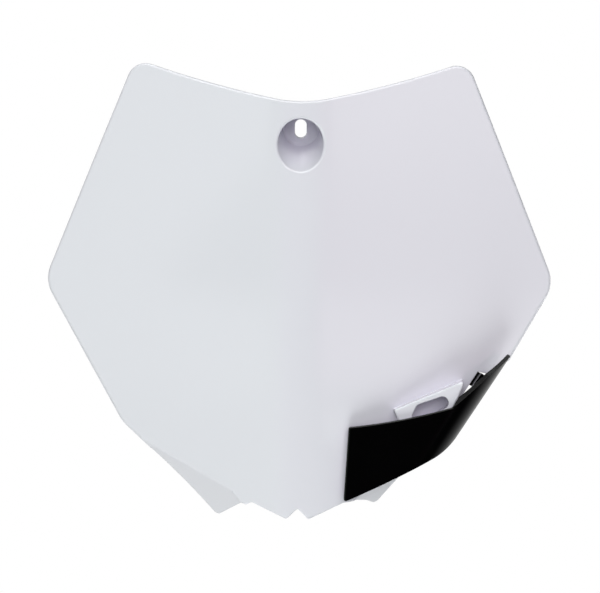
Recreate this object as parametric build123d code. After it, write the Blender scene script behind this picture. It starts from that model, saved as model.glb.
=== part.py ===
from build123d import *
import os
from math import asin, cos, degrees, radians, sin, sqrt, tan

# Sizes are in millimetres and angles in degrees.
# The face is drawn flat first: x across, y up the face, z out of the face.
# It is then leaned back so that the fixing screw lies along the row's Y.

# number plate, the face
lean = 24.0
wall = 2.5
fold_angle = 12.0
ridge_half_width = 16.6
bow_radius = 1200.0
bow_middle = -85.0
top_half_width = 89.2
top_height = 38.8
top_middle_x = 44.6
top_middle_height = 24.0
valley_height = 13.2
valley_radius = 65.0
side_half_width = 137.2
side_height = -80.6
low_half_width = 94.1
low_right_x = 92.7
low_height = -156.0
top_corner_radius = 10.0
side_corner_radius = 17.0
low_corner_radius = 18.0
edge_round = 1.6

# chin with its notch
chin_half_width = 24.2
chin_height = -197.5
tooth_half_width = 5.8
tooth_height = -206.1
notch_height = -200.4
tooth_round = 1.0
chin_round = 0.7
heel_x = 27.3
heel_height = -198.9
heel_outer_x = 29.9
heel_outer_height = -198.0
right_heel_height = -197.1
right_heel_outer_height = -196.6
fold_inner_x = 34.6
fold_inner_height = -192.6

# legs folded back under the face
leg_shadow_x = 58.0
leg_shadow_height = -188.8
leg_fold_angle = 49.0
fold_round = 1.2
leg_start_x = 86.0
leg_start_height = -163.8
leg_end_x = 39.8
leg_end_height = -189.1
leg_middle_along = 28.5
leg_middle_out = 12.7
leg_tip_along = 55.1
leg_tip_out = 30.2
leg_inner_along = 65.5
leg_inner_out = 6.2
leg_tip_round = 2.5
short_leg_start = 32.2
short_leg_corner_x = 58.6
short_leg_corner_height = -178.6
short_leg_tip_along = 54.3
short_leg_tip_out = 16.4
short_leg_knee_along = 58.8
short_leg_knee_out = 8.5
short_leg_inner_out = 2.0

# right edge, cut back to clear the hose
ear_x = 113.6
ear_height = -121.2
ear_root_x = 101.4
ear_root_height = -129.0
cutback_x = 95.8
cutback_height = -127.7
cutback_low_x = 75.8
cutback_low_height = -158.2

# screw cup
cup_height = -8.1
cup_depth = 23.2
cup_floor = 2.5
cup_floor_radius = 9.3
cup_draft = 7.6
cup_rim_round = 1.2
cup_floor_bevel = 0.8
slot_width = 6.3
slot_length = 11.0

# pedestal that the hose guide rests on
pedestal_front = -4.0
pedestal_draft = 2.0
pedestal_round = 1.0
pedestal_left_x = 50.5
pedestal_left_height = -147.8
pedestal_right_x = 87.8
pedestal_right_height = -132.1
pedestal_low_left_x = 57.0
pedestal_low_left_height = -164.0
pedestal_low_right_x = 80.5
pedestal_low_right_height = -150.0
pocket_left_x = 62.3
pocket_left_height = -145.1
pocket_right_x = 77.8
pocket_right_height = -139.6
pocket_low_right_x = 80.0
pocket_low_right_height = -145.5
pocket_low_left_x = 56.5
pocket_low_left_height = -158.3
pocket_round = 3.2

# hose guide
guide_wall = 2.5
bend_radius = 13.0
bend_angle = 68.0
bend_x = 79.6
bend_height = -147.4
limb_offset = 11.6
guide_clearance = 0.1
guide_left_x = 26.6
guide_left_low_x = 24.2
guide_top_left = -157.0
guide_bottom_left = -196.6
guide_top_middle_x = 53.0
guide_top_middle = -153.0
guide_shoulder_along = 1.8
guide_shoulder_out = 0.5
guide_round = 0.8
guide_low_middle_x = 52.8
guide_low_middle = -183.2
guide_corner_along = -18.1
guide_corner_radius = 36.0
guide_left_radius = 1.2
arm_start = 0.0
arm_start_rise = 2.75
arm_end_start = 11.1
arm_end_rise = 1.6
arm_length = 41.7
arm_tip_round = 2.0
lip_width = 2.5
tongue_thick = 2.3
tongue_width = 14.0
tongue_reach = 4.0
tongue_gap = 0.2

# hook of the guide behind the cut-back edge
hook_gap = 0.8
hook_thick = 4.4
hook_start = 16.9
hook_end = 25.4
hook_front = -6.2
hook_back = -25.0
barb_thick = 2.6
barb_reach = 2.6

# working lengths of the blocks that cut and trim
reach = 170.0
far_back = -110.0
far_front = 40.0
outside = 260.0
fold_lead = 40.0
fold_trim = 60.0
leg_root = 2.0
pedestal_deep = 30.0
panel_reach = 80.0
tail_length = 30.0
arm_excess = 12.0
touch = 0.02


def ridge_profile(offset, deep):
    """Section across the face: two flat flanks blended at the ridge, closed far behind."""
    slope = tan(radians(fold_angle))
    x1 = ridge_half_width - offset * sin(radians(fold_angle))
    z1 = -slope * ridge_half_width / 2 - offset * cos(radians(fold_angle))
    z2 = z1 - (reach - x1) * slope
    ridge = Bezier((-x1, z1), (0, z1 + slope * x1), (x1, z1))
    rest = Polyline((x1, z1), (reach, z2), (reach, deep), (-reach, deep), (-reach, z2), (-x1, z1))
    return make_face(ridge + rest)


def bowed(profile):
    """Turn the section about an axis behind the face, which gives the slight upright bow."""
    half = degrees(asin(reach / (bow_radius + far_back)))
    section = Plane((0, bow_middle, 0), x_dir=(1, 0, 0), z_dir=(0, -1, 0)) * profile
    axis = Axis((0, bow_middle, -bow_radius), (1, 0, 0))
    return revolve(section.rotate(axis, -half), axis, 2 * half)


def front_at(x, y):
    """Height of the front surface over a point of the flat drawing."""
    inner = min(abs(x), ridge_half_width)
    z = -tan(radians(fold_angle)) * (abs(x) - inner + inner**2 / (2 * ridge_half_width))
    return sqrt((bow_radius + z) ** 2 - (y - bow_middle) ** 2) - bow_radius


def on_front(edge):
    """True for an edge that lies in the front surface."""
    spots = [edge.position_at(t) for t in (0.1, 0.5, 0.9)]
    return all(abs(spot.Z - front_at(spot.X, spot.Y)) < touch for spot in spots)


def soften(face, point, radius):
    """Round one corner of a flat drawing."""
    return fillet(face.vertices().sort_by_distance(point)[0], radius)


def through(face, low=far_back, high=far_front):
    """A prism on a flat drawing, along the drawing's z."""
    return extrude(Pos(0, 0, low) * face, high - low)


front_block = bowed(ridge_profile(0.0, far_back))
rear_block = bowed(ridge_profile(wall, far_back))
inside_face = Pos(0, 0, -wall / 2) * front_block

# outline of the face, whose heel is lower on the left than on the right
left_outline = [
    (-tooth_half_width, tooth_height),
    (-chin_half_width, chin_height),
    (-heel_x, heel_height),
    (-heel_outer_x, heel_outer_height),
    (-fold_inner_x, fold_inner_height),
    (-leg_shadow_x, leg_shadow_height),
    (-low_half_width, low_height),
    (-side_half_width, side_height),
    (-top_half_width, top_height),
]
right_outline = [
    (top_half_width, top_height),
    (side_half_width, side_height),
    (low_right_x, low_height),
    (leg_shadow_x, leg_shadow_height),
    (fold_inner_x, fold_inner_height),
    (heel_outer_x, right_heel_outer_height),
    (heel_x, right_heel_height),
    (chin_half_width, chin_height),
    (tooth_half_width, tooth_height),
]
outline_lines = [
    ThreePointArc((-top_half_width, top_height), (-top_middle_x, top_middle_height), (0, valley_height)),
    ThreePointArc((0, valley_height), (top_middle_x, top_middle_height), (top_half_width, top_height)),
    Polyline(*right_outline, (0, notch_height), *left_outline),
]
outline = make_face(outline_lines)
outline = soften(outline, (0, valley_height), valley_radius)
outline = soften(outline, (0, notch_height), tooth_round)
for side in (-1, 1):
    outline = soften(outline, (side * top_half_width, top_height), top_corner_radius)
    outline = soften(outline, (side * side_half_width, side_height), side_corner_radius)
    outline = soften(outline, (side * tooth_half_width, tooth_height), tooth_round)
outline = soften(outline, (-low_half_width, low_height), low_corner_radius)
face_shell = (front_block - rear_block) & through(outline)


def front_border(solid):
    """Edges round the front surface: those that only one of its faces has."""
    faces = [f for f in solid.faces() if all(on_front(e) for e in f.edges())]
    edges = [e for f in faces for e in f.edges()]
    return [e for e in edges if sum(e.is_same(other) for other in edges) == 1]


rim = [e for e in front_border(face_shell) if e.position_at(0.5).Y > low_height]
face_shell = fillet(rim, edge_round)
chin_edges = [e for e in front_border(face_shell) if e.position_at(0.5).Y < low_height]
chin_edges = [e for e in chin_edges if abs(e.position_at(0.5).X) < heel_outer_x]
face_shell = fillet(chin_edges, chin_round)

# legs: flat flanges turned back along a straight fold line on each flank
fold_start = Vector(-leg_start_x, leg_start_height, front_at(leg_start_x, leg_start_height))
fold_end = Vector(-leg_end_x, leg_end_height, front_at(leg_end_x, leg_end_height))
fold_dir = (fold_end - fold_start).normalized()
flank_normal = Vector(-sin(radians(fold_angle)), 0, cos(radians(fold_angle)))
fold_out = flank_normal.cross(fold_dir).normalized() * -1
face_normal = fold_dir.cross(fold_out).normalized() * -1
leg_dir = fold_out * cos(radians(leg_fold_angle)) - face_normal * sin(radians(leg_fold_angle))
leg_plane = Plane(fold_start, x_dir=fold_dir, z_dir=fold_dir.cross(leg_dir))


def leg(lines, tip, mirrored):
    """One flange, cut square to its own plane and trimmed to the face's front surface."""
    flat = soften(make_face(lines), tip, leg_tip_round)
    solid = extrude(leg_plane * flat, wall, dir=leg_plane.z_dir)
    solid = mirror(solid, Plane.YZ) if mirrored else solid
    return solid & front_block


def beyond_fold(length, mirrored):
    """All that lies outside the plane of a leg, along the length of its fold."""
    box = Box(length + fold_lead, 2 * fold_trim, fold_trim, align=(Align.MIN, Align.CENTER, Align.MAX))
    solid = leg_plane * (Pos(-fold_lead, 0, 0) * box)
    return mirror(solid, Plane.YZ) if mirrored else solid


fold_corner = Vector(-fold_inner_x, fold_inner_height, front_at(fold_inner_x, fold_inner_height))
fold_length = (fold_corner - fold_start).length
long_leg_lines = [
    ThreePointArc((leg_root, 0.0), (leg_middle_along, leg_middle_out), (leg_tip_along, leg_tip_out)),
    Polyline(
        (leg_tip_along, leg_tip_out),
        (leg_inner_along, leg_inner_out),
        (fold_length, -leg_root),
        (leg_root, -leg_root),
        (leg_root, 0.0),
    ),
]
short_leg_lines = Polyline(
    (short_leg_start - leg_root, -leg_root),
    (short_leg_start, 0.0),
    (short_leg_tip_along, short_leg_tip_out),
    (short_leg_knee_along, short_leg_knee_out),
    (leg_inner_along, short_leg_inner_out),
    (fold_length, -leg_root),
    close=True,
)
long_leg = leg(long_leg_lines, (leg_tip_along, leg_tip_out), False)
short_leg = leg(short_leg_lines, (short_leg_tip_along, short_leg_tip_out), True)
plate = face_shell - beyond_fold(fold_length, False) - beyond_fold(fold_length, True)
plate = plate + long_leg + short_leg


def on_fold(edge):
    """True for an edge that runs along the fold of either leg."""
    spots = [edge.position_at(t) for t in (0.1, 0.5, 0.9)]
    spots = [leg_plane.to_local_coords(Vector(-abs(spot.X), spot.Y, spot.Z)) for spot in spots]
    close = all(abs(spot.Z) < touch and abs(spot.Y) < wall / 2 for spot in spots)
    return close and edge.length > leg_tip_out / 2


plate = fillet([e for e in plate.edges() if on_fold(e)], fold_round)

# right edge, cut back below an ear so that the hose can pass
cutback_points = [
    (ear_x, ear_height),
    (ear_root_x, ear_root_height),
    (cutback_x, cutback_height),
    (cutback_low_x, cutback_low_height),
    (short_leg_corner_x, short_leg_corner_height),
    (short_leg_corner_x, -outside),
    (outside, -outside),
    (outside, ear_root_height),
]
plate = plate - through(make_face(Polyline(*cutback_points, close=True)))

# pedestal: a box with drafted sides, cored from the front down to the face
pedestal_points = [
    (pedestal_left_x, pedestal_left_height),
    (pedestal_right_x, pedestal_right_height),
    (pedestal_low_right_x, pedestal_low_right_height),
    (pedestal_low_left_x, pedestal_low_left_height),
]
pedestal_face = Pos(0, 0, pedestal_front) * make_face(Polyline(*pedestal_points, close=True))
pedestal = extrude(pedestal_face, pedestal_deep, dir=(0, 0, -1), taper=-pedestal_draft)
pedestal_base = pedestal_front - pedestal_deep
pedestal_edges = [e for e in pedestal.edges() if e.position_at(0.5).Z > pedestal_base + touch]
pedestal = fillet(pedestal_edges, pedestal_round)
pedestal = pedestal - inside_face
pocket_points = [
    (pocket_left_x, pocket_left_height),
    (pocket_right_x, pocket_right_height),
    (pocket_low_right_x, pocket_low_right_height),
    (pocket_low_left_x, pocket_low_left_height),
]
pocket = make_face(Polyline(*pocket_points, close=True))
for point in pocket_points:
    pocket = soften(pocket, point, pocket_round)
pedestal = pedestal - (through(pocket) - front_block)

# hose guide: a flat panel bent back along a line parallel to the cut-back edge
cut_edge = Vector(cutback_x - cutback_low_x, cutback_height - cutback_low_height).normalized()
across = Vector(cut_edge.Y, -cut_edge.X)
bend_plane = Plane((bend_x, bend_height, 0), x_dir=across, z_dir=cut_edge * -1)
guide_front = pedestal_front + guide_wall


def bent_line(offset):
    """End points of the bend and of the tail behind it, for one skin of the panel."""
    turn = radians(bend_angle)
    r = bend_radius - offset
    z0 = guide_front - bend_radius
    middle = (r * sin(turn / 2), z0 + r * cos(turn / 2))
    end = (r * sin(turn), z0 + r * cos(turn))
    tail = (end[0] + tail_length * cos(turn), end[1] - tail_length * sin(turn))
    return (0, z0 + r), middle, end, tail


outer = bent_line(0.0)
inner = bent_line(guide_wall)
section_lines = [
    Line((-panel_reach, guide_front), outer[0]),
    ThreePointArc(outer[0], outer[1], outer[2]),
    Polyline(outer[2], outer[3], inner[3], inner[2]),
    ThreePointArc(inner[2], inner[1], inner[0]),
    Polyline(inner[0], (-panel_reach, pedestal_front), (-panel_reach, guide_front)),
]
bent_panel = extrude(bend_plane * make_face(section_lines), panel_reach, both=True)
plate = plate + (pedestal - bent_panel)


def beside_bend(along, out):
    """A point of the flat drawing, measured along and out from the bend line."""
    spot = Vector(bend_x, bend_height) + cut_edge * along + across * out
    return (spot.X, spot.Y)


far_along = arm_length + arm_excess
shoulder = beside_bend(guide_shoulder_along, guide_shoulder_out)
low_corner = beside_bend(guide_corner_along, limb_offset)
guide_lines = [
    ThreePointArc(
        (guide_left_x, guide_top_left),
        (guide_top_middle_x, guide_top_middle),
        shoulder,
    ),
    Polyline(
        shoulder,
        beside_bend(far_along, guide_shoulder_out),
        beside_bend(far_along, limb_offset),
        low_corner,
    ),
    ThreePointArc(
        low_corner,
        (guide_low_middle_x, guide_low_middle),
        (guide_left_low_x, guide_bottom_left),
    ),
    Line((guide_left_low_x, guide_bottom_left), (guide_left_x, guide_top_left)),
]
guide_outline = make_face(guide_lines)
guide_outline = soften(guide_outline, low_corner, guide_corner_radius)
guide_outline = soften(guide_outline, (guide_left_x, guide_top_left), guide_left_radius)
guide_outline = soften(guide_outline, (guide_left_low_x, guide_bottom_left), guide_left_radius)
guide = bent_panel & through(guide_outline)
guide_faces = [f for f in guide.faces() if f.normal_at(f.center()).Z > 0.3]
guide_edges = [e for f in guide_faces for e in f.edges()]
guide_rim = [e for e in guide_edges if sum(e.is_same(other) for other in guide_edges) == 1]
far_end = Plane(beside_bend(far_along, 0.0), z_dir=cut_edge)
guide_rim = [e for e in guide_rim if far_end.to_local_coords(e.position_at(0.5)).Z < -touch]
guide = fillet(guide_rim, guide_round)
past_box = Box(panel_reach, 2 * panel_reach, 2 * panel_reach, align=(Align.MIN, Align.CENTER, Align.CENTER))
past_bend = bend_plane * past_box


def above_arm(along, rise):
    """All that lies above one slanting cut of the arm, square to the middle of the bend."""
    spot = beside_bend(along, 0.0)
    normal = cut_edge + (Vector(0, 0, 1) - across) * rise
    block = Box(3 * panel_reach, 3 * panel_reach, panel_reach, align=(Align.CENTER, Align.CENTER, Align.MIN))
    return Plane((spot[0], spot[1], guide_front), z_dir=normal) * block & past_bend


guide = guide - above_arm(arm_start, arm_start_rise) - above_arm(arm_end_start, arm_end_rise)
tip_block = Box(panel_reach, panel_reach, panel_reach, align=(Align.CENTER, Align.CENTER, Align.MIN))
tip_plane = Plane(beside_bend(arm_length, 0.0), z_dir=cut_edge)
guide = guide - tip_plane * tip_block
tip_edges = [e for e in guide.edges() if abs(tip_plane.to_local_coords(e.position_at(0.5)).Z) < touch]
guide = fillet(max(tip_edges, key=lambda e: e.position_at(0.5).Z), arm_tip_round)

# lip along the guide's left edge, which fills the gap down to the face
low_slope = (guide_low_middle - guide_bottom_left) / (guide_low_middle_x - guide_left_low_x)
top_slope = (guide_top_middle - guide_top_left) / (guide_top_middle_x - guide_left_x)
lip_points = [
    (guide_left_x, guide_top_left),
    (guide_left_low_x, guide_bottom_left),
    (guide_left_low_x + lip_width, guide_bottom_left + low_slope * lip_width),
    (guide_left_x + lip_width, guide_top_left + top_slope / 2 * lip_width),
]
guide_middle = pedestal_front + guide_wall / 2
lip_face = make_face(Polyline(*lip_points, close=True))
for point in lip_points[:2]:
    lip_face = soften(lip_face, point, guide_left_radius)
lip = through(lip_face, far_back, guide_middle)
guide = (guide + lip) - Pos(0, 0, guide_clearance) * front_block

# tongue of the guide through a slot in the face
tongue_x = guide_left_x + lip_width / 2
tongue_height = (guide_top_left + guide_bottom_left) / 2
tongue_end = front_at(tongue_x, tongue_height) - wall - tongue_reach
tongue_spot = Pos(tongue_x, tongue_height)
tongue = tongue_spot * Rectangle(tongue_thick, tongue_width)
tongue_slot = tongue_spot * Rectangle(tongue_thick + 2 * tongue_gap, tongue_width + 2 * tongue_gap)
guide = guide + through(tongue, tongue_end, guide_middle)
plate = plate - through(tongue_slot)

# hook of the guide, which passes the cut-back edge and turns in behind it
edge_out = Vector(cutback_x - bend_x, cutback_height - bend_height).dot(across)
hook_in = edge_out + hook_gap


def beside_box(out_low, out_high, low, high):
    """A block beside the bend line, from one end of the hook to the other."""
    corners = [
        beside_bend(hook_start, out_low),
        beside_bend(hook_start, out_high),
        beside_bend(hook_end, out_high),
        beside_bend(hook_end, out_low),
    ]
    return through(make_face(Polyline(*corners, close=True)), low, high)


hook = beside_box(hook_in, hook_in + hook_thick, hook_back, hook_front)
barb = beside_box(hook_in - barb_reach, hook_in + hook_thick, hook_back, hook_back + barb_thick)
guide = guide + hook + barb

# lean both back, with the middle of the slot on the cup's rear face at the origin
mouth_z = front_at(0, cup_height)
face_origin = (
    0,
    -cup_floor - cup_depth - cup_height * sin(radians(lean)) + mouth_z * cos(radians(lean)),
    -cup_height * cos(radians(lean)) - mouth_z * sin(radians(lean)),
)
leaned = Plane(face_origin, x_dir=(1, 0, 0), z_dir=(0, -cos(radians(lean)), sin(radians(lean)))).location


def cup_cone(start, radius):
    """A cone along the screw, widening toward the front."""
    length = 2 * cup_depth
    wide = radius + length * tan(radians(cup_draft))
    cone = Cone(radius, wide, length, align=(Align.CENTER, Align.CENTER, Align.MIN))
    return Plane((0, start, 0), x_dir=(1, 0, 0), z_dir=(0, -1, 0)) * cone


cup_outside = cup_cone(0.0, cup_floor_radius + wall)
cup_inside = cup_cone(-cup_floor, cup_floor_radius)
floor_edge = cup_inside.edges().sort_by(Axis.Y)[-1]
cup_inside = chamfer(floor_edge, cup_floor_bevel)
slot = Plane((0, 0, 0), x_dir=(0, 0, 1), z_dir=(0, -1, 0)) * SlotOverall(slot_length, slot_width)
slot_cut = extrude(slot, cup_depth / 2, both=True)
upright = leaned.inverse()
plate = plate + (upright * cup_outside & inside_face) - upright * cup_inside - upright * slot_cut

# round the cup's mouth, whose edge reaches furthest from the screw at its low side
mouth_radius = cup_floor_radius + cup_depth * tan(radians(cup_draft))
mouth_reach = mouth_radius / (cos(radians(lean)) - tan(radians(cup_draft)) * sin(radians(lean))) + edge_round
mouth = [e for e in plate.edges() if on_front(e)]
mouth = [e for e in mouth if (Vector(0, cup_height, mouth_z) - e.position_at(0.5)).length < mouth_reach]
plate = leaned * fillet(mouth, cup_rim_round)
guide = leaned * guide

os.makedirs("parts", exist_ok=True)
export_step(plate, "parts/number_plate.step")
export_step(guide, "parts/hose_guide.step")
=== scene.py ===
"""Finish and stage of a racing number board: a gloss white plate with a gloss black hose guide."""
from math import cos, radians, sin
from typing import NamedTuple

import bmesh
import bpy
from mathutils import Matrix, Vector

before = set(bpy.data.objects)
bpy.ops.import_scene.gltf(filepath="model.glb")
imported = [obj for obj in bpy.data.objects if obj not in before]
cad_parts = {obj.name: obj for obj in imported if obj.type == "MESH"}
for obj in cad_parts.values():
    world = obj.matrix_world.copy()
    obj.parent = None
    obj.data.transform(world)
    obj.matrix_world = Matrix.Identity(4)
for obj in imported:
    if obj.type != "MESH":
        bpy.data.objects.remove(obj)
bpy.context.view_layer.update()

bl_info = {
    "name": "Racing number board",
    "version": (1, 0, 0),
    "blender": (4, 5, 0),
    "location": "View3D > Sidebar > Number board",
    "description": "Finishes the number plate and its hose guide and sets them in a plain studio",
    "category": "Object",
}

plastic_ior = 1.49
white = (1.0, 1.0, 1.0, 1.0)
pale_grey = (0.9, 0.9, 0.9, 1.0)


def length(name, description, default):
    """Property for a length, in metres."""
    return bpy.props.FloatProperty(
        name=name, description=description, unit="LENGTH", default=default
    )


def angle(name, description, degrees):
    """Property for an angle, given here in degrees."""
    return bpy.props.FloatProperty(
        name=name, description=description, subtype="ANGLE", default=radians(degrees)
    )


def share(name, description, default):
    """Property between none and all."""
    return bpy.props.FloatProperty(
        name=name, description=description, subtype="FACTOR", min=0.0, max=1.0, default=default
    )


def tint(name, description, default):
    """Property for a colour."""
    return bpy.props.FloatVectorProperty(
        name=name,
        description=description,
        subtype="COLOR",
        size=3,
        min=0.0,
        max=1.0,
        default=default,
    )


class PlateFinish(bpy.types.PropertyGroup):
    """White gloss plastic of the number plate"""

    colour: tint("Colour", "Colour of the moulded plastic", (0.750, 0.760, 0.804))
    roughness: share("Roughness", "Roughness of the polished face", 0.10)
    gloss: share("Gloss", "Light that the skin mirrors, with 0.5 for clear plastic", 0.5)
    tone_spread: share("Tone spread", "Spread of the slow changes in brightness", 0.012)
    smudge_size: length("Smudge size", "Width of the duller and the clearer patches", 0.02)
    smudge_depth: share("Smudge depth", "Spread of the roughness of those patches", 0.03)
    # Painted shade: the recess tint darkens the colour where other faces within reach shut a face
    # in, standing in for the shade in the screw cup, the pocket and above the guide.
    recess_reach: length("Recess reach", "Distance within which other faces shut a face in", 0.02)
    recess_tint: tint("Recess tint", "Share of the colour left in a recess", (0.87, 0.82, 0.89))
    edge_radius: length("Edge radius", "Softness that moulding leaves on sharp edges", 0.0009)
    peel_size: length("Peel size", "Width of the fine waves that moulding leaves", 0.0016)
    peel_height: length("Peel height", "Height of the fine waves", 0.000002)
    sink_size: length("Sink size", "Width of the broad shallow waves of a cooled sheet", 0.07)
    sink_height: length("Sink height", "Height of the broad waves", 0.00005)


class GuideFinish(bpy.types.PropertyGroup):
    """Black gloss plastic of the hose guide"""

    colour: tint("Colour", "Colour of the moulded plastic", (0.0007, 0.0007, 0.0008))
    roughness: share("Roughness", "Roughness of the moulded skin", 0.16)
    gloss: share("Gloss", "Light that the skin mirrors, with 0.5 for clear plastic", 0.17)
    tone_spread: share("Tone spread", "Spread of the slow changes in brightness", 0.3)
    smudge_size: length("Smudge size", "Width of the duller and the clearer patches", 0.012)
    smudge_depth: share("Smudge depth", "Spread of the roughness of those patches", 0.08)
    # Painted shade: the recess tint darkens the colour where other faces within reach shut a face
    # in.
    recess_reach: length("Recess reach", "Distance within which other faces shut a face in", 0.01)
    recess_tint: tint("Recess tint", "Share of the colour left in a recess", (0.8, 0.8, 0.8))
    edge_radius: length("Edge radius", "Softness that moulding leaves on sharp edges", 0.0005)
    peel_size: length("Peel size", "Width of the fine waves that moulding leaves", 0.0009)
    peel_height: length("Peel height", "Height of the fine waves", 0.000004)
    sink_size: length("Sink size", "Width of the broad shallow waves of a cooled sheet", 0.03)
    sink_height: length("Sink height", "Height of the broad waves", 0.00003)


class StudioStage(bpy.types.PropertyGroup):
    """Camera, light and floor"""

    camera_lift: angle("Camera lift", "Angle of the camera above the horizon", 24.0)
    camera_roll: angle("Camera roll", "Turn of the camera about its own line of sight", 0.5)
    camera_distance: length("Camera distance", "Distance from the camera to its aim", 1.1)
    view_width: length("View width", "Width of the picture at the aim", 0.315)
    aim: bpy.props.FloatVectorProperty(
        name="Aim",
        description="Point that the camera looks at",
        subtype="XYZ",
        unit="LENGTH",
        size=3,
        default=(0.00038, -0.06064, -0.07241),
    )
    floor_height: length("Floor height", "Height of the floor, well below the hung-up board", -1.8)
    floor_radius: length("Floor radius", "Radius of the round floor", 0.9)
    floor_roughness: share("Floor roughness", "Roughness of the floor", 0.9)
    lamp_distance: length("Lamp distance", "Distance from the aim to each lamp", 2.0)
    surround_radius: length("Surround radius", "Radius of the walls that the gloss mirrors", 4.0)
    fill: bpy.props.FloatProperty(
        name="Fill",
        description="Strength of the even light from all sides",
        min=0.0,
        default=0.06,
    )


class Lamp(NamedTuple):
    """Round lamp, set by its degrees right of and above the camera as seen from the aim."""

    name: str
    turn: float
    lift: float
    size: float
    power: float
    colour: tuple


lamps = (
    Lamp("high_lamp", turn=-40, lift=65, size=2.4, power=17.0, colour=(0.96, 1.0, 0.94)),
    Lamp("key_lamp", turn=8, lift=33, size=2.2, power=24.5, colour=(0.99, 0.96, 1.0)),
    Lamp("front_lamp", turn=-8, lift=5, size=1.3, power=8.2, colour=(0.97, 1.0, 1.0)),
    Lamp("low_lamp", turn=-10, lift=-66, size=1.3, power=27.5, colour=(0.98, 1.0, 0.98)),
    Lamp("back_lamp", turn=180, lift=25, size=1.3, power=22.0, colour=(1.0, 1.0, 1.0)),
)


def maths_in(tree):
    """Function that adds a maths node to the tree and gives back its result."""

    def maths(operation, *values):
        node = tree.nodes.new("ShaderNodeMath")
        node.operation = operation
        for socket, value in zip(node.inputs, values):
            if isinstance(value, (int, float)):
                socket.default_value = value
            else:
                tree.links.new(value, socket)
        return node.outputs[0]

    return maths


def new_group(name, inputs, outputs, input_type="NodeSocketFloat", output_type="NodeSocketFloat"):
    """Shader group with sockets of these names, and the values that it is given and puts out."""
    group = bpy.data.node_groups.new(name, "ShaderNodeTree")
    for socket in inputs:
        group.interface.new_socket(socket, in_out="INPUT", socket_type=input_type)
    for socket in outputs:
        group.interface.new_socket(socket, in_out="OUTPUT", socket_type=output_type)
    given = group.nodes.new("NodeGroupInput").outputs
    made = group.nodes.new("NodeGroupOutput").inputs
    return group, given, made


def placed(nodes, make_group):
    """Node for a group that has its function's name and is built when it is first needed."""
    node = nodes.new("ShaderNodeGroup")
    node.node_tree = bpy.data.node_groups.get(make_group.__name__) or make_group()
    return node


def moulded_skin():
    """Group for the skin of moulded plastic: its tone, its roughness and its height."""
    group, given, made = new_group(
        "moulded_skin",
        ("Peel Size", "Peel Height", "Sink Size", "Sink Height", "Tone Spread", "Smudge Size"),
        ("Tone", "Roughness Shift", "Height"),
    )
    nodes, links = group.nodes, group.links
    maths = maths_in(group)
    place = nodes.new("ShaderNodeTexCoord").outputs["Object"]

    def noise(size, detail):
        """Waves of about this width, up and down from nought."""
        node = nodes.new("ShaderNodeTexNoise")
        node.inputs["Detail"].default_value = detail
        links.new(place, node.inputs["Vector"])
        links.new(maths("DIVIDE", 1.0, size), node.inputs["Scale"])
        return maths("SUBTRACT", node.outputs["Fac"], 0.5)

    peel = maths("MULTIPLY", noise(given["Peel Size"], detail=1.0), given["Peel Height"])
    sink = maths("MULTIPLY", noise(given["Sink Size"], detail=0.0), given["Sink Height"])
    tone = maths("MULTIPLY", noise(given["Sink Size"], detail=2.0), given["Tone Spread"])
    links.new(maths("ADD", tone, 1.0), made["Tone"])
    links.new(noise(given["Smudge Size"], detail=4.0), made["Roughness Shift"])
    links.new(maths("ADD", peel, sink), made["Height"])
    return group


def painted_recess_shade():
    """Group for how far other faces within reach shut a face in, from nought to one, for painting
    shade into the colour of recesses.
    """
    group, given, made = new_group("painted_recess_shade", ("Reach",), ("Shut In",))
    nodes, links = group.nodes, group.links
    maths = maths_in(group)
    openness = nodes.new("ShaderNodeAmbientOcclusion")
    openness.samples = 8
    links.new(given["Reach"], openness.inputs["Distance"])
    links.new(maths("SUBTRACT", 1.0, openness.outputs["AO"]), made["Shut In"])
    return group


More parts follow.
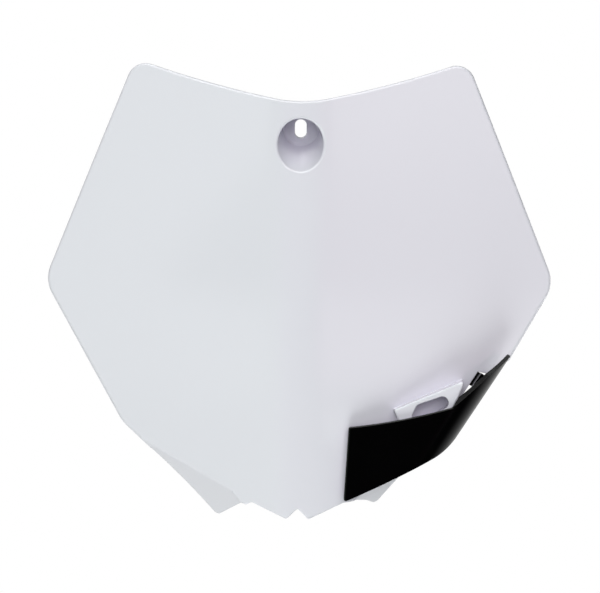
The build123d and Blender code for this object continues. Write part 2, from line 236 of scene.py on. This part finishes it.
def plastic(name, finish):
    """Gloss moulded plastic, with its skin and the painted shade in its recesses from the shared
    groups.
    """
    material = bpy.data.materials.new(name)
    material.use_nodes = True
    nodes, links = material.node_tree.nodes, material.node_tree.links
    maths = maths_in(material.node_tree)
    shader = nodes["Principled BSDF"]
    shader.inputs["IOR"].default_value = plastic_ior
    shader.inputs["Specular IOR Level"].default_value = finish.gloss

    skin = placed(nodes, moulded_skin)
    skin.inputs["Peel Size"].default_value = finish.peel_size
    skin.inputs["Peel Height"].default_value = finish.peel_height
    skin.inputs["Sink Size"].default_value = finish.sink_size
    skin.inputs["Sink Height"].default_value = finish.sink_height
    skin.inputs["Tone Spread"].default_value = finish.tone_spread
    skin.inputs["Smudge Size"].default_value = finish.smudge_size
    recess = placed(nodes, painted_recess_shade)
    recess.inputs["Reach"].default_value = finish.recess_reach

    # Painted shade: the colour is multiplied down towards the recess tint as far as the face is
    # shut in.
    left_by_painted_shade = nodes.new("ShaderNodeVectorMath")
    left_by_painted_shade.operation = "MULTIPLY_ADD"
    links.new(recess.outputs["Shut In"], left_by_painted_shade.inputs[0])
    left_by_painted_shade.inputs[1].default_value = [part - 1.0 for part in finish.recess_tint]
    left_by_painted_shade.inputs[2].default_value = (1.0, 1.0, 1.0)
    colour = nodes.new("ShaderNodeVectorMath")
    colour.operation = "MULTIPLY"
    colour.inputs[0].default_value = finish.colour
    links.new(left_by_painted_shade.outputs["Vector"], colour.inputs[1])
    toned = nodes.new("ShaderNodeVectorMath")
    toned.operation = "SCALE"
    links.new(colour.outputs["Vector"], toned.inputs[0])
    links.new(skin.outputs["Tone"], toned.inputs["Scale"])
    links.new(toned.outputs["Vector"], shader.inputs["Base Color"])

    shift = skin.outputs["Roughness Shift"]
    roughness = maths("MULTIPLY_ADD", shift, finish.smudge_depth, finish.roughness)
    links.new(roughness, shader.inputs["Roughness"])

    soft_edge = nodes.new("ShaderNodeBevel")
    soft_edge.samples = 6
    soft_edge.inputs["Radius"].default_value = finish.edge_radius
    bump = nodes.new("ShaderNodeBump")
    bump.inputs["Distance"].default_value = 1.0
    links.new(soft_edge.outputs["Normal"], bump.inputs["Normal"])
    links.new(skin.outputs["Height"], bump.inputs["Height"])
    links.new(bump.outputs["Normal"], shader.inputs["Normal"])
    return material


def dress(node, material):
    """Give a node of the frame its finish."""
    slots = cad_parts[node].material_slots
    for slot in slots:
        slot.material = material
    if not slots:
        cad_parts[node].data.materials.append(material)


class NUMBERBOARD_OT_number_plate(bpy.types.Operator):
    """Give the number plate its white gloss finish"""

    bl_idname = "numberboard.number_plate"
    bl_label = "Number plate"

    def execute(self, context):
        dress("number_plate", plastic("white_gloss", context.scene.plate_finish))
        return {"FINISHED"}


class NUMBERBOARD_OT_hose_guide(bpy.types.Operator):
    """Give the hose guide its black gloss finish"""

    bl_idname = "numberboard.hose_guide"
    bl_label = "Hose guide"

    def execute(self, context):
        dress("hose_guide", plastic("black_gloss", context.scene.guide_finish))
        return {"FINISHED"}


def looking(stage):
    """The camera's own directions, before its roll: right, up and back towards the camera."""
    lift = stage.camera_lift
    return Vector((1, 0, 0)), Vector((0, sin(lift), cos(lift))), Vector((0, -cos(lift), sin(lift)))


def seen_from_aim(stage, turn, lift):
    """Direction from the aim, given in degrees right of and above the camera."""
    right, up, back = looking(stage)
    turn, lift = radians(turn), radians(lift)
    return right * sin(turn) * cos(lift) + up * sin(lift) + back * cos(turn) * cos(lift)


def add_camera(context, stage):
    """Camera at the photograph's angle."""
    data = bpy.data.cameras.new("camera")
    data.sensor_width = 36.0
    data.lens = data.sensor_width * stage.camera_distance / stage.view_width
    camera = bpy.data.objects.new("camera", data)
    right, up, back = looking(stage)
    turn = Matrix((right, up, back)).transposed() @ Matrix.Rotation(stage.camera_roll, 3, "Z")
    place = Matrix.Translation(Vector(stage.aim) + back * stage.camera_distance)
    camera.matrix_world = place @ turn.to_4x4()
    context.collection.objects.link(camera)
    context.scene.camera = camera


def add_lamp(context, stage, lamp):
    """Large soft lamp that faces the board; it lights the surfaces and isn't mirrored in them."""
    data = bpy.data.lights.new(lamp.name, "AREA")
    data.shape = "DISK"
    data.size = lamp.size
    data.energy = lamp.power
    data.color = lamp.colour
    item = bpy.data.objects.new(lamp.name, data)
    way = seen_from_aim(stage, lamp.turn, lamp.lift)
    item.location = Vector(stage.aim) + way * stage.lamp_distance
    item.rotation_euler = way.to_track_quat("Z", "Y").to_euler()
    item.visible_camera = False
    item.visible_glossy = False
    context.collection.objects.link(item)


def studio_surround():
    """Group for what the gloss mirrors: light by degrees of turn and lift from the camera."""
    group, given, made = new_group(
        "studio_surround", ("Direction",), ("Light",), "NodeSocketVector", "NodeSocketColor"
    )
    nodes, links = group.nodes, group.links
    maths = maths_in(group)

    def rise(value, low, high):
        """Nought up to the low value and one from the high one, with a soft step between."""
        node = nodes.new("ShaderNodeMapRange")
        node.interpolation_type = "SMOOTHSTEP"
        node.inputs["From Min"].default_value = low
        node.inputs["From Max"].default_value = high
        links.new(value, node.inputs["Value"])
        return node.outputs["Result"]

    def fall(value, low, high):
        """One up to the low value and nought from the high one."""
        return maths("SUBTRACT", 1.0, rise(value, low, high))

    def both(first, second, strength=1.0):
        """Light where both are lit."""
        return maths("MULTIPLY", maths("MULTIPLY", first, second), strength)

    unit = nodes.new("ShaderNodeVectorMath")
    unit.operation = "NORMALIZE"
    links.new(given["Direction"], unit.inputs[0])
    parts = nodes.new("ShaderNodeSeparateXYZ")
    links.new(unit.outputs["Vector"], parts.inputs["Vector"])
    turn = maths("DEGREES", maths("ARCTAN2", parts.outputs["X"], parts.outputs["Z"]))
    lift = maths("DEGREES", maths("ARCSINE", parts.outputs["Y"]))
    away = maths("ABSOLUTE", turn)

    # The left of the face mirrors a panel with a slanting edge high up, a table low down and
    # a fainter table beside the ridge.
    left_part = fall(turn, -24.5, -20.0)
    above_panel = maths("MULTIPLY_ADD", turn, -3.25, maths("SUBTRACT", lift, 94.4))
    left_panel = both(rise(above_panel, -2.5, 2.5), left_part)
    above_table = maths("MULTIPLY_ADD", turn, 0.67, maths("ADD", lift, 18.2))
    left_table = both(fall(above_table, -1.4, 1.4), both(left_part, rise(lift, -17.0, -5.0), 0.9))
    middle_table = both(fall(lift, -2.0, 0.5), fall(turn, -12.0, -6.0), 0.4)

    # The right of the face mirrors a wall high up, a table low down and a glow beside the guide.
    right_part = both(rise(lift, -10.0, -6.0), fall(turn, 32.0, 42.0))
    right_table = both(right_part, both(fall(lift, -1.0, 1.5), rise(turn, 14.0, 24.0), 0.95))
    wall_strength = maths("ADD", rise(lift, 3.0, 20.0), 0.5)
    right_wall = both(right_part, both(rise(turn, 24.4, 25.8), wall_strength))
    glow_rows = both(rise(lift, -12.6, -11.4), fall(lift, -10.8, -9.3))
    right_glow = both(glow_rows, both(rise(turn, 19.0, 24.0), fall(turn, 26.0, 28.0), 1.7))

    # The upper edges mirror the ceiling, the guide's bent-back side the far right, and the short
    # leg what is behind. The far left hardly shows from the photograph's angle.
    ceiling = both(rise(lift, 26.0, 50.0), fall(away, 40.0, 85.0), 6.0)
    left_rows = both(rise(lift, -40.0, -10.0), fall(lift, 15.0, 45.0))
    far_left = both(fall(turn, -110.0, -50.0), left_rows, 0.4)
    right_rows = both(rise(lift, -46.0, -38.0), fall(lift, 0.0, 25.0))
    far_right = both(rise(turn, 45.0, 130.0), both(fall(turn, 140.0, 165.0), right_rows, 3.2))
    behind = maths("MULTIPLY", rise(away, 110.0, 150.0), 0.4)

    around = left_panel
    for piece in (
        left_table,
        middle_table,
        right_table,
        right_wall,
        right_glow,
        ceiling,
        far_left,
        far_right,
        behind,
    ):
        around = maths("MAXIMUM", around, piece)

    # The studio is greener on the left and more violet on the right.
    green_side = both(rise(turn, -60.0, -45.0), fall(turn, -22.0, -8.0))
    violet_side = both(right_part, rise(turn, 8.0, 22.0))
    light = nodes.new("ShaderNodeCombineColor")
    links.new(maths("MULTIPLY_ADD", violet_side, 0.4, around), light.inputs["Red"])
    links.new(maths("MULTIPLY_ADD", green_side, 0.27, around), light.inputs["Green"])
    links.new(maths("MULTIPLY_ADD", violet_side, 0.2, around), light.inputs["Blue"])
    links.new(light.outputs["Color"], made["Light"])
    return group


def add_surround(context, stage):
    """Sphere of studio walls about the board, mirrored in the gloss and seen in no other way."""
    mesh = bpy.data.meshes.new("surround")
    shape = bmesh.new()
    bmesh.ops.create_uvsphere(shape, u_segments=64, v_segments=32, radius=stage.surround_radius)
    shape.to_mesh(mesh)
    shape.free()
    material = bpy.data.materials.new("surround")
    material.use_nodes = True
    nodes, links = material.node_tree.nodes, material.node_tree.links
    nodes.remove(nodes["Principled BSDF"])
    place = nodes.new("ShaderNodeTexCoord")
    walls = placed(nodes, studio_surround)
    links.new(place.outputs["Object"], walls.inputs["Direction"])
    glow = nodes.new("ShaderNodeEmission")
    glow.inputs["Strength"].default_value = 1.0
    links.new(walls.outputs["Light"], glow.inputs["Color"])
    links.new(glow.outputs["Emission"], nodes["Material Output"].inputs["Surface"])
    mesh.materials.append(material)
    surround = bpy.data.objects.new("surround", mesh)
    turn = Matrix(looking(stage)).transposed()
    surround.matrix_world = Matrix.Translation(stage.aim) @ turn.to_4x4()
    surround.visible_camera = False
    surround.visible_diffuse = False
    surround.visible_transmission = False
    surround.visible_shadow = False
    context.collection.objects.link(surround)


def add_floor(context, stage):
    """Round pale floor, well below the board."""
    mesh = bpy.data.meshes.new("floor")
    shape = bmesh.new()
    place = Matrix.Translation((stage.aim[0], stage.aim[1], stage.floor_height))
    radius = stage.floor_radius
    bmesh.ops.create_circle(shape, cap_ends=True, segments=96, radius=radius, matrix=place)
    shape.to_mesh(mesh)
    shape.free()
    material = bpy.data.materials.new("floor")
    material.use_nodes = True
    shader = material.node_tree.nodes["Principled BSDF"]
    shader.inputs["Base Color"].default_value = pale_grey
    shader.inputs["Roughness"].default_value = stage.floor_roughness
    mesh.materials.append(material)
    floor = bpy.data.objects.new("floor", mesh)
    context.collection.objects.link(floor)


def set_world(context, stage):
    """White wherever the camera or a reflection meets the world, and an even light elsewhere."""
    world = context.scene.world or bpy.data.worlds.new("studio")
    context.scene.world = world
    world.use_nodes = True
    nodes, links = world.node_tree.nodes, world.node_tree.links
    maths = maths_in(world.node_tree)
    light = nodes["Background"]
    light.inputs["Color"].default_value = white
    light.inputs["Strength"].default_value = stage.fill
    seen = nodes.new("ShaderNodeBackground")
    seen.inputs["Color"].default_value = white
    seen.inputs["Strength"].default_value = 1.0
    rays = nodes.new("ShaderNodeLightPath").outputs
    looks = maths("MAXIMUM", rays["Is Camera Ray"], rays["Is Glossy Ray"])
    looks = maths("MAXIMUM", looks, rays["Is Transmission Ray"])
    mix = nodes.new("ShaderNodeMixShader")
    links.new(looks, mix.inputs["Fac"])
    links.new(light.outputs["Background"], mix.inputs[1])
    links.new(seen.outputs["Background"], mix.inputs[2])
    links.new(mix.outputs["Shader"], nodes["World Output"].inputs["Surface"])


class NUMBERBOARD_OT_stage(bpy.types.Operator):
    """Set up the floor, the light and the camera"""

    bl_idname = "numberboard.stage"
    bl_label = "Studio stage"

    def execute(self, context):
        stage = context.scene.studio_stage
        context.scene.view_settings.view_transform = "Standard"
        add_camera(context, stage)
        add_floor(context, stage)
        set_world(context, stage)
        add_surround(context, stage)
        for lamp in lamps:
            add_lamp(context, stage, lamp)
        return {"FINISHED"}


class NUMBERBOARD_PT_sidebar(bpy.types.Panel):
    """Sizes and colours of the number board, with a button for each step"""

    bl_label = "Number board"
    bl_space_type = "VIEW_3D"
    bl_region_type = "UI"
    bl_category = "Number board"

    def draw(self, context):
        layout, scene = self.layout, context.scene
        for group in (scene.plate_finish, scene.guide_finish, scene.studio_stage):
            box = layout.box()
            for name in group.__annotations__:
                box.prop(group, name)
        for step in steps:
            layout.operator(step.bl_idname)


steps = (NUMBERBOARD_OT_number_plate, NUMBERBOARD_OT_hose_guide, NUMBERBOARD_OT_stage)
classes = (PlateFinish, GuideFinish, StudioStage, *steps, NUMBERBOARD_PT_sidebar)


def register():
    for cls in classes:
        bpy.utils.register_class(cls)
    bpy.types.Scene.plate_finish = bpy.props.PointerProperty(type=PlateFinish)
    bpy.types.Scene.guide_finish = bpy.props.PointerProperty(type=GuideFinish)
    bpy.types.Scene.studio_stage = bpy.props.PointerProperty(type=StudioStage)


def unregister():
    del bpy.types.Scene.studio_stage
    del bpy.types.Scene.guide_finish
    del bpy.types.Scene.plate_finish
    for cls in reversed(classes):
        bpy.utils.unregister_class(cls)


def main():
    register()
    bpy.ops.numberboard.number_plate()
    bpy.ops.numberboard.hose_guide()
    bpy.ops.numberboard.stage()


if __name__ == "__main__":
    main()
